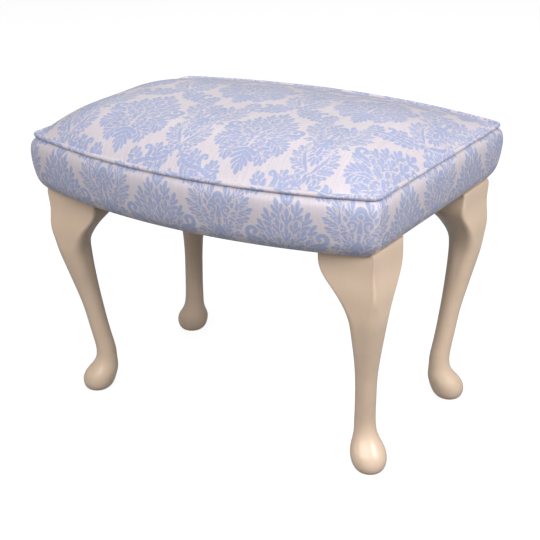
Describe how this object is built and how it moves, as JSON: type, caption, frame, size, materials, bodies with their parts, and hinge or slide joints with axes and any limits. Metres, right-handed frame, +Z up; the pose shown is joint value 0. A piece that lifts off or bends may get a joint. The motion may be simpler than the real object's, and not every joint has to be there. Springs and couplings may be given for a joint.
{
  "type": "upholstered stool",
  "caption": "Boxed, piped and crowned upholstered seat on four painted cabriole legs with pad feet, for sitting at a dressing table or resting the feet.",
  "frame": {"origin": "on the floor, under the middle of the seat", "axes": "+X along the length of the seat, +Y from the front to the back, +Z up"},
  "size_m": [0.5502, 0.4672, 0.456],
  "materials": {
    "leg_paint": "cream satin paint over beech",
    "frame_wood": "planed beech, unfinished",
    "dowel_wood": "fluted beech dowel, unfinished",
    "screw_steel": "zinc plated",
    "webbing": "woven jute webbing",
    "tack_steel": "blued steel",
    "hessian": "open plain weave",
    "foam": "open-cell foam",
    "wadding": "soft fibre batting",
    "damask": "satin weave damask, ivory ground with light blue figure",
    "cotton_cord": "twisted cotton",
    "bottom_cloth": "thin matt cloth",
    "staple_steel": "galvanised wire"
  },
  "bodies": {
    "root": {"front_left_leg": "leg_paint", "front_right_leg": "leg_paint", "back_left_leg": "leg_paint", "back_right_leg": "leg_paint", "front_rail": "frame_wood", "back_rail": "frame_wood", "left_rail": "frame_wood", "right_rail": "frame_wood", "front_left_corner_block": "frame_wood", "front_right_corner_block": "frame_wood", "back_left_corner_block": "frame_wood", "back_right_corner_block": "frame_wood", "rail_dowels": "dowel_wood", "corner_block_screws": "screw_steel", "webbing_along": "webbing", "webbing_across": "webbing", "webbing_tacks": "tack_steel", "hessian": "hessian", "foam_pad": "foam", "wadding": "wadding", "top_cover": "damask", "border_band": "damask", "piping_cord": "cotton_cord", "piping_cover": "damask", "dust_cover": "bottom_cloth", "border_staples": "staple_steel", "dust_cover_staples": "staple_steel"}
  },
  "joints": []
}
